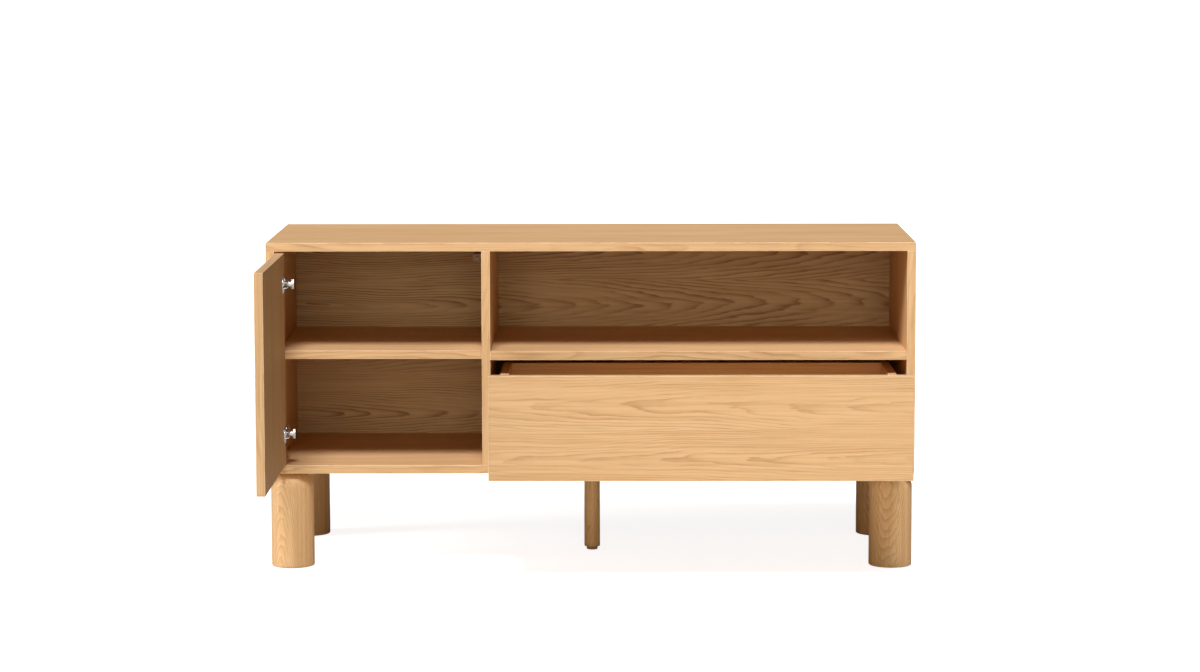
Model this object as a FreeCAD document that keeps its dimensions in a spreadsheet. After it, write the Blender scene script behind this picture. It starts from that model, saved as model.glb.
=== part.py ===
import FreeCAD
import Part
import Sketcher
import os

# Low oak cabinet on round legs: one inset door, one inset drawer under an open bay.
# Frame: X to the right, Y to the back, Z up; origin on the floor under the middle of the carcass.

DOC = FreeCAD.newDocument("cabinet")
SHEET = DOC.addObject("Spreadsheet::Sheet", "Sizes")

SIZES = [
    ("width", 1200, "carcass width"),
    ("depth", 430, "carcass depth"),
    ("leg_height", 180, "floor to carcass"),
    ("carcass_height", 430, "carcass height"),
    ("board", 16, "board thickness"),
    ("arris", 0.7, "eased edge of every board"),
    ("left_bay", 382, "clear width of the door bay"),
    ("lower_bay", 196, "clear height of the lower bays"),
    ("shelf_setback", 20, "loose shelf behind the front plane"),
    ("shelf_slack", 0.6, "gap at each end of the loose shelf"),
    ("shelf_back_gap", 2, "loose shelf to the back panel"),
    ("rebate", 8, "rear rebate, width and depth"),
    ("back_board", 4, "back panel thickness"),
    ("back_screw_head", 6, "back screw head diameter"),
    ("back_screw_head_height", 1.2, "back screw head height"),
    ("back_screw_dia", 3, "back screw shank diameter"),
    ("back_screw_length", 15, "back screw shank length"),
    ("back_screw_step", 150, "distance between back screws along the boards"),
    ("back_screw_rise", 74, "distance between back screws up the sides"),
    ("dowel_dia", 8, "dowel diameter"),
    ("dowel_short", 10, "dowel depth in a board face"),
    ("dowel_long", 18, "dowel depth in a board edge"),
    ("dowel_front", 70, "first dowel behind the front plane"),
    ("low_dowel", 140, "outer dowels of the bottom board from its middle"),
    ("pin_dia", 5, "shelf pin diameter"),
    ("pin_in", 10, "shelf pin depth in the side"),
    ("pin_in_divider", 7, "shelf pin depth in the divider"),
    ("pin_out", 8, "shelf pin projection"),
    ("pin_edge", 60, "shelf pin from the shelf's front and rear"),
    ("leg_dia", 80, "main leg diameter"),
    ("leg_inset", 41, "leg axis from the carcass faces"),
    ("leg_shoulder", 30, "rounding at the top of a main leg"),
    ("leg_toe", 2.5, "rounding at the bottom of a main leg"),
    ("glide_dia", 36, "glide disc diameter"),
    ("glide_height", 3, "glide disc height"),
    ("glide_proud", 1.5, "glide disc below the wood"),
    ("bolt_dia", 8, "hanger bolt diameter"),
    ("bolt_in_leg", 32, "hanger bolt depth in the leg"),
    ("bolt_in_board", 12, "hanger bolt length in the insert"),
    ("insert_dia", 12, "threaded insert outer diameter"),
    ("insert_height", 14, "threaded insert height"),
    ("support_dia", 30, "centre leg diameter"),
    ("support_lift", 6, "centre leg wood above the floor"),
    ("support_round", 2, "rounding at the ends of the centre leg"),
    ("foot_dia", 21, "leveller disc diameter"),
    ("foot_disc", 5.5, "leveller disc height"),
    ("foot_round", 1.5, "leveller disc edge rounding"),
    ("foot_stem", 32, "leveller stem length"),
    ("foot_recess_dia", 22.6, "recess for the disc"),
    ("foot_recess", 8, "recess depth"),
    ("socket_height", 26, "leveller socket height"),
    ("socket_bore", 8.6, "leveller socket bore"),
    ("stem_room", 12, "free depth above the socket"),
    ("door_side_gap", 2, "door to side and divider"),
    ("door_low_gap", 2, "door to bottom board"),
    ("door_top_gap", 3, "door to top board"),
    ("hinge_from_top", 58, "upper cup below the door's top"),
    ("hinge_from_low", 56, "lower cup above the door's bottom"),
    ("cup_dia", 35, "hinge cup diameter"),
    ("cup_depth", 12, "hinge cup depth"),
    ("cup_wall", 1, "hinge cup sheet"),
    ("cup_rim_dia", 37, "hinge cup rim diameter"),
    ("cup_edge", 22, "cup centre from the door's edge"),
    ("ear_gap", 9.2, "clear width between the cup's ears"),
    ("ear_sheet", 1.6, "ear thickness"),
    ("ear_low", 7, "ear foot, near the door's edge"),
    ("ear_high", 15, "ear foot, far from the door's edge"),
    ("ear_top", 23.5, "ear height above the door's outer face"),
    ("ear_tip", -0.8, "ear tip beyond the door's edge"),
    ("ear_neck", 6.4, "height of the ear's tip"),
    ("arm_width", 8, "arm width at the nose"),
    ("arm_body_width", 13, "arm width at the plate"),
    ("nose_front", 5.7, "arm nose behind the front plane"),
    ("nose_near", 17.5, "arm nose, near side"),
    ("nose_far", 28.2, "arm nose, far side"),
    ("hook_far", 32.8, "hook, far side"),
    ("hook_width", 17.4, "hook width"),
    ("hook_depth", 16, "nose depth"),
    ("hook_ease", 1, "hook behind the nose's front and rear"),
    ("arm_start", 36, "arm body behind the front plane"),
    ("arm_end", 80, "arm body rear end"),
    ("arm_low", 6, "arm body, wall side"),
    ("arm_high", 14, "arm body, free side"),
    ("plate_base", 2, "mounting plate thickness"),
    ("plate_wing", 50, "mounting plate height"),
    ("plate_front", 43, "mounting plate wing, front edge"),
    ("plate_depth", 20, "mounting plate wing depth"),
    ("plate_ridge", 12, "mounting plate ridge width"),
    ("ridge_short", 2, "ridge shorter than the arm at each end"),
    ("plate_screw", 34, "distance between the plate screws"),
    ("screw_head", 7.5, "plate screw head diameter"),
    ("screw_head_height", 1.6, "plate screw head height"),
    ("screw_dia", 4, "plate screw shank diameter"),
    ("screw_length", 14, "plate screw shank length"),
    ("arm_screw_head", 6.5, "arm screw head diameter"),
    ("arm_screw_depth", 6, "arm screw shank length"),
    ("arm_screw_end", 12, "arm screw from the arm body's ends"),
    ("latch_wide", 16, "push latch housing, across"),
    ("latch_high", 14, "push latch housing, height"),
    ("latch_long", 50, "push latch housing, length"),
    ("latch_set", 24, "latch housing behind the front plane"),
    ("latch_level", 580, "door latch above the floor"),
    ("plunger_dia", 6, "latch plunger diameter"),
    ("plunger_bore", 6.7, "latch bore diameter"),
    ("plunger_long", 24, "door latch plunger length"),
    ("plunger_gap", 0.5, "plunger tip to the closed front"),
    ("plunger_room", 5, "free bore behind the plunger"),
    ("strike_dia", 10, "strike disc diameter"),
    ("strike_depth", 1, "strike disc thickness"),
    ("strike_edge", 6, "strike disc centre from the door's edge"),
    ("latch_screw_head", 5.5, "latch screw head diameter"),
    ("latch_screw_dia", 3, "latch screw shank diameter"),
    ("latch_screw_bite", 10, "latch screw depth in the board"),
    ("latch_screw_end", 20, "door latch screw from the housing's rear end"),
    ("rear_latch_wide", 24, "drawer latch housing, across"),
    ("rear_latch_deep", 18, "drawer latch housing, depth"),
    ("rear_latch_high", 36, "drawer latch housing, height"),
    ("rear_latch_gap", 1, "drawer latch housing to the back panel"),
    ("rear_latch_wall", 2, "housing behind the drawer plunger's bore"),
    ("rear_latch_base", 2, "drawer latch base thickness"),
    ("rear_latch_foot", 48, "drawer latch base, across"),
    ("rear_latch_screw", 36, "distance between the base's screws"),
    ("rear_plunger_level", 26, "drawer plunger above the bottom board"),
    ("rear_plunger_long", 13, "drawer latch plunger length"),
    ("drawer_side_gap", 3.2, "drawer front to divider and side"),
    ("drawer_low_gap", 2.5, "drawer front to bottom board"),
    ("drawer_top_gap", 2.8, "drawer front to fixed shelf"),
    ("drawer_out", 210, "drawer pulled out at rest"),
    ("drawer_length", 400, "drawer length over all"),
    ("drawer_lift", 12, "drawer box above the bottom board"),
    ("drawer_box_height", 157, "drawer box height"),
    ("drawer_clear", 18, "drawer box to the bay's walls"),
    ("drawer_floor", 4, "drawer bottom thickness"),
    ("drawer_floor_lift", 12, "drawer bottom above the box's lower edge"),
    ("groove", 6, "groove depth for the drawer bottom"),
    ("drawer_dowel_low", 47, "lower drawer dowels above the box's lower edge"),
    ("drawer_dowel_high", 126, "upper drawer dowels above the box's lower edge"),
    ("packer", 5, "slide packing strip thickness"),
    ("slide_length", 380, "slide length"),
    ("slide_set", 19, "slide behind the front plane"),
    ("slide_level", 66, "slide axis above the bottom board"),
    ("slide_height", 46, "outer slide channel height"),
    ("slide_sheet", 1.2, "slide sheet thickness"),
    ("slide_step", 0.6, "clearance between nested channels"),
    ("slide_lip", 10.5, "outer and middle channel depth"),
    ("slide_inner_lip", 4.2, "inner channel edge from the packer"),
    ("slide_room", 13, "packer to drawer side"),
    ("slide_screw_end", 38, "outer slide screws from the slide's ends"),
    ("slide_screw_head", 6.5, "slide screw head diameter"),
    ("slide_screw_dia", 3.5, "slide screw shank diameter"),
    ("slide_screw_long", 14, "slide screw shank length, carcass side"),
    ("slide_screw_short", 12, "slide screw shank length, drawer side"),
]


class Dim:
    """A length that keeps its number and the expression that gives it."""

    def __init__(self, number, text):
        self.number = number
        self.text = text

    def __add__(self, other):
        other = dim(other)
        return Dim(self.number + other.number, f"({self.text} + {other.text})")

    def __sub__(self, other):
        other = dim(other)
        return Dim(self.number - other.number, f"({self.text} - {other.text})")

    def __mul__(self, factor):
        return Dim(self.number * factor, f"({self.text} * {factor})")

    def __truediv__(self, factor):
        return Dim(self.number / factor, f"({self.text} / {factor})")

    def __neg__(self):
        return self * -1


def dim(value):
    return value if isinstance(value, Dim) else Dim(float(value), str(value))


class Sheet:
    """Reads a driving dimension by its alias."""

    def __getattr__(self, alias):
        return Dim(float(SHEET.get(alias)), f"Sizes.{alias}")


def fill_sheet():
    for row, (alias, number, note) in enumerate(SIZES, start=1):
        SHEET.set(f"A{row}", note)
        SHEET.set(f"B{row}", str(number))
        SHEET.setAlias(f"B{row}", alias)
    DOC.recompute()


fill_sheet()
S = Sheet()
ZERO = dim(0)
PLANES = {"XY": "XY_Plane", "XZ": "XZ_Plane", "YZ": "YZ_Plane"}
NODES = []
PLACES = {}

# Levels and planes that several pieces share.
FRONT = -S.depth / 2
REAR = S.depth / 2
LEFT = -S.width / 2
RIGHT = S.width / 2
LEFT_IN = LEFT + S.board
RIGHT_IN = RIGHT - S.board
DIVIDER = LEFT_IN + S.left_bay
BAY = DIVIDER + S.board
BOTTOM = S.leg_height
FLOOR = BOTTOM + S.board
SHELF = FLOOR + S.lower_bay
TOP = S.leg_height + S.carcass_height
CEILING = TOP - S.board
BACK = REAR - S.rebate
DOWEL_ROWS = [FRONT + S.dowel_front, ZERO, REAR - S.dowel_front]
LOW_ROWS = [-S.low_dowel, ZERO, S.low_dowel]


def bind(thing, prop, length):
    thing.setExpression(prop, dim(length).text)


def new_body(name, at=(0, 0, 0)):
    body = DOC.addObject("PartDesign::Body", name)
    body.Label = name
    body.AllowCompound = True
    for axis, length in zip("xyz", at):
        bind(body, f"Placement.Base.{axis}", length)
    PLACES[name] = [dim(length) for length in at]
    NODES.append(body)
    return body


def new_sketch(body, plane, offset):
    sketch = body.newObject("Sketcher::SketchObject", f"{body.Name}_sketch")
    base = [part for part in body.Origin.OriginFeatures if part.Role == PLANES[plane]][0]
    sketch.AttachmentSupport = [(base, "")]
    sketch.MapMode = "FlatFace"
    bind(sketch, "AttachmentOffset.Base.z", offset)
    return sketch


def set_length(sketch, kind, ends, length):
    index = sketch.addConstraint(Sketcher.Constraint(kind, *ends, length.number))
    sketch.setExpression(f"Constraints[{index}]", length.text)


def draw_outline(sketch, points):
    """Closed outline; every corner is held to the sketch origin."""
    points = [(dim(x), dim(y)) for x, y in points]
    first = sketch.GeometryCount
    count = len(points)
    for i in range(count):
        start, end = points[i], points[(i + 1) % count]
        a = FreeCAD.Vector(start[0].number, start[1].number, 0)
        b = FreeCAD.Vector(end[0].number, end[1].number, 0)
        sketch.addGeometry(Part.LineSegment(a, b), False)
    for i in range(count):
        follower = first + (i + 1) % count
        sketch.addConstraint(Sketcher.Constraint("Coincident", first + i, 2, follower, 1))
    for i, (x, y) in enumerate(points):
        set_length(sketch, "DistanceX", (-1, 1, first + i, 1), x)
        set_length(sketch, "DistanceY", (-1, 1, first + i, 1), y)


def draw_circles(sketch, centres, diameter):
    diameter = dim(diameter)
    for i, (x, y) in enumerate(centres):
        x, y = dim(x), dim(y)
        centre = FreeCAD.Vector(x.number, y.number, 0)
        circle = Part.Circle(centre, FreeCAD.Vector(0, 0, 1), diameter.number / 2)
        sketch.addGeometry(circle, False)
        set_length(sketch, "DistanceX", (-1, 1, i, 3), x)
        set_length(sketch, "DistanceY", (-1, 1, i, 3), y)
        set_length(sketch, "Diameter", (i,), diameter)


def pad(body, sketch, length, reverse=False, middle=False):
    feature = body.newObject("PartDesign::Pad", f"{body.Name}_pad")
    feature.Profile = sketch
    bind(feature, "Length", length)
    feature.Reversed = reverse
    feature.Midplane = middle
    sketch.Visibility = False
    body.Tip = feature
    return feature


def pocket(body, sketch, depth, reverse=False, middle=False):
    feature = body.newObject("PartDesign::Pocket", f"{body.Name}_pocket")
    feature.Profile = sketch
    bind(feature, "Length", depth)
    feature.Reversed = reverse
    feature.Midplane = middle
    sketch.Visibility = False
    body.Tip = feature
    return feature


def corners(x, y, across, along):
    x, y = dim(x), dim(y)
    return [(x, y), (x + across, y), (x + across, y + along), (x, y + along)]


def board(name, at, size):
    """Flat board with its lower front left corner at the body's origin, all edges eased."""
    body = new_body(name, at)
    sketch = new_sketch(body, "XY", ZERO)
    draw_outline(sketch, corners(ZERO, ZERO, size[0], size[1]))
    base = pad(body, sketch, size[2])
    DOC.recompute()
    ease = body.newObject("PartDesign::Fillet", f"{name}_arris")
    ease.Base = (base, [f"Edge{i + 1}" for i in range(len(base.Shape.Edges))])
    bind(ease, "Radius", S.arris)
    body.Tip = ease
    return body


def cut_box(body, at, size):
    """Box-shaped cut, given in the body's own frame."""
    sketch = new_sketch(body, "XY", at[2])
    draw_outline(sketch, corners(at[0], at[1], size[0], size[1]))
    pocket(body, sketch, size[2], reverse=True)


def own(body, point):
    """A point of the shared frame, in the body's frame."""
    return tuple(dim(p) - base for p, base in zip(point, PLACES[body.Label]))


def flat(point, plane):
    picks = {"XY": (0, 1), "XZ": (0, 2), "YZ": (1, 2)}[plane]
    return tuple(point[i] for i in picks)


def height_over(point, plane):
    """Distance of a point along a plane's normal."""
    return {"XY": point[2], "XZ": -dim(point[1]), "YZ": point[0]}[plane]


def bore(body, plane, points, diameter, depth, forward):
    """Round holes starting at points of the shared frame, along the plane's axis."""
    inside = [own(body, p) for p in points]
    sketch = new_sketch(body, plane, height_over(inside[0], plane))
    draw_circles(sketch, [flat(p, plane) for p in inside], diameter)
    pocket(body, sketch, depth, reverse=forward != (plane == "XZ"))


def pegs(name, plane, points, stages):
    """Round pieces standing on points of the shared frame; a stage is start, diameter, length."""
    body = new_body(name)
    for start, diameter, length in stages:
        for level in sorted({round(height_over(p, plane).number, 3) for p in points}):
            row = [p for p in points if abs(height_over(p, plane).number - level) < 0.01]
            sketch = new_sketch(body, plane, height_over(row[0], plane) + start)
            draw_circles(sketch, [flat(p, plane) for p in row], diameter)
            pad(body, sketch, length)
    return body


def ring_edges(feature, level):
    """Names of the feature's edges that lie wholly at one height."""
    names = []
    for i, edge in enumerate(feature.Shape.Edges):
        box = edge.BoundBox
        if abs(box.ZMin - level.number) < 0.01 and abs(box.ZMax - level.number) < 0.01:
            names.append(f"Edge{i + 1}")
    return names


def round_rings(body, level, radius):
    DOC.recompute()
    base = body.Tip
    feature = body.newObject("PartDesign::Fillet", f"{body.Name}_round")
    feature.Base = (base, ring_edges(base, level))
    bind(feature, "Radius", radius)
    body.Tip = feature
    DOC.recompute()


def grid(xs, ys, zs):
    return [(dim(x), dim(y), dim(z)) for x in xs for y in ys for z in zs]


# ---- where the fasteners sit ------------------------------------------------------------------

MID_BOTTOM = BOTTOM + S.board / 2
MID_SHELF = SHELF + S.board / 2
SIDE_MIDS = [LEFT + S.board / 2, DIVIDER + S.board / 2, RIGHT - S.board / 2]
LEG_X = RIGHT - S.leg_inset
LEG_Y = REAR - S.leg_inset
LEG_SPOTS = [(-LEG_X, -LEG_Y), (LEG_X, -LEG_Y), (-LEG_X, LEG_Y), (LEG_X, LEG_Y)]
PIN_ROWS = [FRONT + S.pin_edge, REAR - S.pin_edge]
PIN_LEVEL = SHELF - S.pin_dia / 2


def back_screw_spots():
    """Screws into the top and bottom boards, the sides, the divider and the fixed shelf."""
    edge = S.rebate / 2
    plate = BACK + S.back_board
    across = [S.back_screw_step * k / 2 for k in (-7, -5, -3, -1, 1, 3, 5, 7)]
    low, middle, high = [FLOOR + S.back_screw_rise * k for k in (1, 2, 3)]
    rows = grid(across, [plate], [CEILING + edge, FLOOR - edge])
    rows += grid([LEFT_IN - edge, RIGHT_IN + edge], [plate], [low, middle, high])
    rows += grid([DIVIDER + S.board / 2], [plate], [low, high])
    rows += grid([ZERO, S.width / 6, S.width / 3], [plate], [MID_SHELF])
    return rows


BACK_SCREWS = back_screw_spots()


# ---- carcass ----------------------------------------------------------------------------------

def top_panel():
    body = board("top_panel", (LEFT, FRONT, CEILING), (S.width, S.depth, S.board))
    inner = S.width - S.board * 2 + S.rebate * 2
    cut_box(body, (S.board - S.rebate, S.depth - S.rebate, ZERO), (inner, S.rebate, S.rebate))
    spots = grid(SIDE_MIDS, DOWEL_ROWS, [CEILING])
    bore(body, "XY", spots, S.dowel_dia, S.dowel_short, True)
    return body


def side_panel(name, x, inner_x, turn):
    """Side board; turn is 1 where its inner face looks along +X."""
    height = S.carcass_height - S.board
    body = board(name, (x, FRONT, BOTTOM), (S.board, S.depth, height))
    step = S.board - S.rebate if turn > 0 else ZERO
    cut_box(body, (step, S.depth - S.rebate, S.board - S.rebate),
            (S.rebate, S.rebate, height - S.board + S.rebate))
    tops = grid([x + S.board / 2], DOWEL_ROWS, [CEILING])
    bore(body, "XY", tops, S.dowel_dia, S.dowel_long, False)
    inward = turn < 0
    lows = grid([inner_x], LOW_ROWS, [MID_BOTTOM])
    bore(body, "YZ", lows, S.dowel_dia, S.dowel_short, inward)
    return body


def left_side():
    body = side_panel("left_side_panel", LEFT, LEFT_IN, 1)
    bore(body, "YZ", grid([LEFT_IN], PIN_ROWS, [PIN_LEVEL]), S.pin_dia, S.pin_in, False)
    bite = S.screw_length - S.plate_base
    bore(body, "YZ", plate_screw_spots(HINGE_LEVELS), S.screw_dia, bite, False)
    return body


def right_side():
    body = side_panel("right_side_panel", RIGHT_IN, RIGHT_IN, -1)
    shelf = grid([RIGHT_IN], DOWEL_ROWS, [MID_SHELF])
    bore(body, "YZ", shelf, S.dowel_dia, S.dowel_short, True)
    return body


def bottom_panel():
    inner = S.width - S.board * 2
    body = board("bottom_panel", (LEFT_IN, FRONT, BOTTOM), (inner, S.depth, S.board))
    cut_box(body, (ZERO, S.depth - S.rebate, S.board - S.rebate), (inner, S.rebate, S.rebate))
    bore(body, "YZ", grid([LEFT_IN], LOW_ROWS, [MID_BOTTOM]), S.dowel_dia, S.dowel_long, True)
    bore(body, "YZ", grid([RIGHT_IN], LOW_ROWS, [MID_BOTTOM]), S.dowel_dia, S.dowel_long, False)
    foot = grid([DIVIDER + S.board / 2], DOWEL_ROWS, [FLOOR])
    bore(body, "XY", foot, S.dowel_dia, S.dowel_short, False)
    inserts = [(x, y, BOTTOM) for x, y in LEG_SPOTS] + [(ZERO, ZERO, BOTTOM)]
    bore(body, "XY", inserts, S.insert_dia, S.insert_height, True)
    bore(body, "XY", rear_latch_screw_spots(FLOOR), S.latch_screw_dia, S.latch_screw_bite, False)
    return body


def divider_panel():
    height = CEILING - FLOOR
    deep = BACK - FRONT
    body = board("divider_panel", (DIVIDER, FRONT, FLOOR), (S.board, deep, height))
    middle = DIVIDER + S.board / 2
    bore(body, "XY", grid([middle], DOWEL_ROWS, [CEILING]), S.dowel_dia, S.dowel_long, False)
    bore(body, "XY", grid([middle], DOWEL_ROWS, [FLOOR]), S.dowel_dia, S.dowel_long, True)
    bore(body, "YZ", grid([BAY], DOWEL_ROWS, [MID_SHELF]), S.dowel_dia, S.dowel_short, False)
    bore(body, "YZ", grid([DIVIDER], PIN_ROWS, [PIN_LEVEL]), S.pin_dia, S.pin_in_divider, True)
    return body


def fixed_shelf():
    wide = RIGHT_IN - BAY
    body = board("fixed_shelf", (BAY, FRONT, SHELF), (wide, BACK - FRONT, S.board))
    bore(body, "YZ", grid([BAY], DOWEL_ROWS, [MID_SHELF]), S.dowel_dia, S.dowel_long, True)
    bore(body, "YZ", grid([RIGHT_IN], DOWEL_ROWS, [MID_SHELF]), S.dowel_dia, S.dowel_long, False)
    return body


def adjustable_shelf():
    at = (LEFT_IN + S.shelf_slack, FRONT + S.shelf_setback, SHELF)
    deep = BACK - FRONT - S.shelf_setback - S.shelf_back_gap
    board("adjustable_shelf", at, (S.left_bay - S.shelf_slack * 2, deep, S.board))


def back_panel():
    at = (LEFT_IN - S.rebate, BACK, FLOOR - S.rebate)
    wide = S.width - S.board * 2 + S.rebate * 2
    high = CEILING - FLOOR + S.rebate * 2
    body = new_body("back_panel", at)
    sketch = new_sketch(body, "XY", ZERO)
    draw_outline(sketch, corners(ZERO, ZERO, wide, S.back_board))
    pad(body, sketch, high)
    bore(body, "XZ", BACK_SCREWS, S.back_screw_dia, S.back_board, False)


def back_screws():
    stages = [(-S.back_screw_head_height, S.back_screw_head, S.back_screw_head_height),
              (ZERO, S.back_screw_dia, S.back_screw_length)]
    pegs("back_panel_screws", "XZ", BACK_SCREWS, stages)


def drill_for_back_screws(bodies):
    bite = S.back_screw_length - S.back_board
    for body, spots in bodies:
        bore(body, "XZ", [(x, BACK, z) for x, _, z in spots], S.back_screw_dia, bite, False)


def carcass_dowels():
    length = S.dowel_short + S.dowel_long
    pegs("top_dowels", "XY", grid(SIDE_MIDS, DOWEL_ROWS, [CEILING - S.dowel_long]),
         [(ZERO, S.dowel_dia, length)])
    ends = grid([LEFT_IN - S.dowel_short, RIGHT_IN - S.dowel_long], LOW_ROWS, [MID_BOTTOM])
    pegs("bottom_dowels", "YZ", ends, [(ZERO, S.dowel_dia, length)])
    feet = grid([DIVIDER + S.board / 2], DOWEL_ROWS, [FLOOR - S.dowel_short])
    pegs("divider_dowels", "XY", feet, [(ZERO, S.dowel_dia, length)])
    ends = grid([BAY - S.dowel_short, RIGHT_IN - S.dowel_long], DOWEL_ROWS, [MID_SHELF])
    pegs("shelf_dowels", "YZ", ends, [(ZERO, S.dowel_dia, length)])


def shelf_pins():
    body = new_body("shelf_pins")
    ends = ((LEFT_IN - S.pin_in, S.pin_in + S.pin_out),
            (DIVIDER - S.pin_out, S.pin_out + S.pin_in_divider))
    for x, length in ends:
        sketch = new_sketch(body, "YZ", x)
        draw_circles(sketch, [(y, PIN_LEVEL) for y in PIN_ROWS], S.pin_dia)
        pad(body, sketch, length)


# ---- legs -------------------------------------------------------------------------------------

def main_leg(name, x, y):
    body = new_body(name, (x, y, S.glide_proud))
    height = BOTTOM - S.glide_proud
    sketch = new_sketch(body, "XY", ZERO)
    draw_circles(sketch, [(ZERO, ZERO)], S.leg_dia)
    pad(body, sketch, height)
    round_rings(body, height, S.leg_shoulder)
    round_rings(body, ZERO, S.leg_toe)
    bore(body, "XY", [(x, y, BOTTOM)], S.bolt_dia, S.bolt_in_leg, False)
    seat = S.glide_height - S.glide_proud
    bore(body, "XY", [(x, y, S.glide_proud)], S.glide_dia, seat, True)


def leg_hardware():
    length = S.bolt_in_leg + S.bolt_in_board
    start = [(x, y, BOTTOM - S.bolt_in_leg) for x, y in LEG_SPOTS]
    pegs("leg_bolts", "XY", start, [(ZERO, S.bolt_dia, length)])
    body = pegs("leg_inserts", "XY", [(x, y, BOTTOM) for x, y in LEG_SPOTS],
                [(ZERO, S.insert_dia, S.insert_height)])
    bore(body, "XY", [(x, y, BOTTOM) for x, y in LEG_SPOTS], S.bolt_dia, S.bolt_in_board, True)
    pegs("leg_glides", "XY", [(x, y, ZERO) for x, y in LEG_SPOTS],
         [(ZERO, S.glide_dia, S.glide_height)])


def support_leg():
    body = new_body("support_leg", (0, 0, S.support_lift))
    height = BOTTOM - S.support_lift
    sketch = new_sketch(body, "XY", ZERO)
    draw_circles(sketch, [(ZERO, ZERO)], S.support_dia)
    pad(body, sketch, height)
    round_rings(body, height, S.support_round)
    round_rings(body, ZERO, S.support_round)
    low = (ZERO, ZERO, S.support_lift)
    bore(body, "XY", [low], S.foot_recess_dia, S.foot_recess, True)
    bore(body, "XY", [low], S.insert_dia, S.foot_recess + S.socket_height, True)
    bore(body, "XY", [low], S.socket_bore, S.foot_recess + S.socket_height + S.stem_room, True)
    bore(body, "XY", [(ZERO, ZERO, BOTTOM)], S.bolt_dia, S.bolt_in_leg, False)


def support_hardware():
    length = S.bolt_in_leg + S.bolt_in_board
    pegs("support_bolt", "XY", [(ZERO, ZERO, BOTTOM - S.bolt_in_leg)], [(ZERO, S.bolt_dia, length)])
    body = pegs("support_insert", "XY", [(ZERO, ZERO, BOTTOM)],
                [(ZERO, S.insert_dia, S.insert_height)])
    bore(body, "XY", [(ZERO, ZERO, BOTTOM)], S.bolt_dia, S.bolt_in_board, True)
    low = (ZERO, ZERO, S.support_lift + S.foot_recess)
    body = pegs("support_socket", "XY", [low], [(ZERO, S.insert_dia, S.socket_height)])
    bore(body, "XY", [low], S.socket_bore, S.socket_height, True)


def levelling_foot():
    body = new_body("levelling_foot")
    sketch = new_sketch(body, "XY", ZERO)
    draw_circles(sketch, [(ZERO, ZERO)], S.foot_dia)
    pad(body, sketch, S.foot_disc)
    round_rings(body, ZERO, S.foot_round)
    sketch = new_sketch(body, "XY", S.foot_disc)
    draw_circles(sketch, [(ZERO, ZERO)], S.bolt_dia)
    pad(body, sketch, S.foot_stem)


# ---- door, open at rest -----------------------------------------------------------------------

DOOR_WIDTH = S.left_bay - S.door_side_gap * 2
DOOR_LOW = FLOOR + S.door_low_gap
DOOR_HEIGHT = CEILING - FLOOR - S.door_low_gap - S.door_top_gap
PIVOT_X = LEFT_IN + S.door_side_gap
HINGE_LEVELS = [DOOR_LOW + DOOR_HEIGHT - S.hinge_from_top, DOOR_LOW + S.hinge_from_low]
CUP_Y = FRONT - S.cup_edge
DOOR_FACE = PIVOT_X + S.board


def plate_screw_spots(levels):
    y = FRONT + S.plate_front + S.plate_depth / 2
    half = S.plate_screw / 2
    return [(LEFT_IN, y, level + half * turn) for level in levels for turn in (1, -1)]


def door_panel():
    at = (PIVOT_X, FRONT - DOOR_WIDTH, DOOR_LOW)
    body = board("door_panel", at, (S.board, DOOR_WIDTH, DOOR_HEIGHT))
    cups = [(DOOR_FACE, CUP_Y, level) for level in HINGE_LEVELS]
    bore(body, "YZ", cups, S.cup_dia, S.cup_depth, False)
    bore(body, "YZ", [strike_spot()], S.strike_dia, S.strike_depth, False)


def strike_spot():
    return (DOOR_FACE, FRONT - DOOR_WIDTH + S.strike_edge, dim(S.latch_level))


def strike_disc():
    x, y, z = strike_spot()
    pegs("door_strike", "YZ", [(x - S.strike_depth, y, z)], [(ZERO, S.strike_dia, S.strike_depth)])


def hinge_cup(name, level):
    floor_x = DOOR_FACE - S.cup_depth
    body = new_body(name, (PIVOT_X, FRONT, level))
    sketch = new_sketch(body, "YZ", S.board - S.cup_depth)
    draw_circles(sketch, [(-S.cup_edge, ZERO)], S.cup_dia)
    pad(body, sketch, S.cup_depth)
    sketch = new_sketch(body, "YZ", dim(S.board))
    draw_circles(sketch, [(-S.cup_edge, ZERO)], S.cup_rim_dia)
    pad(body, sketch, S.cup_wall)
    hollow = S.cup_dia - S.cup_wall * 2
    bore(body, "YZ", [(floor_x + S.cup_wall, CUP_Y, level)], hollow, S.cup_depth, True)
    floor = S.board - S.cup_depth + S.cup_wall
    shoulder = S.ear_top - S.ear_neck
    outline = [(floor, -S.ear_high), (S.ear_top - S.ear_sheet, -S.ear_high), (S.ear_top, -S.ear_low),
               (S.ear_top, -S.ear_tip), (shoulder, -S.ear_tip), (shoulder, -S.ear_low), (floor, -S.ear_low)]
    for turn in (1, -1):
        base = S.ear_gap / 2 if turn > 0 else -S.ear_gap / 2 - S.ear_sheet
        sketch = new_sketch(body, "XY", base)
        draw_outline(sketch, outline)
        pad(body, sketch, S.ear_sheet)


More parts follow.
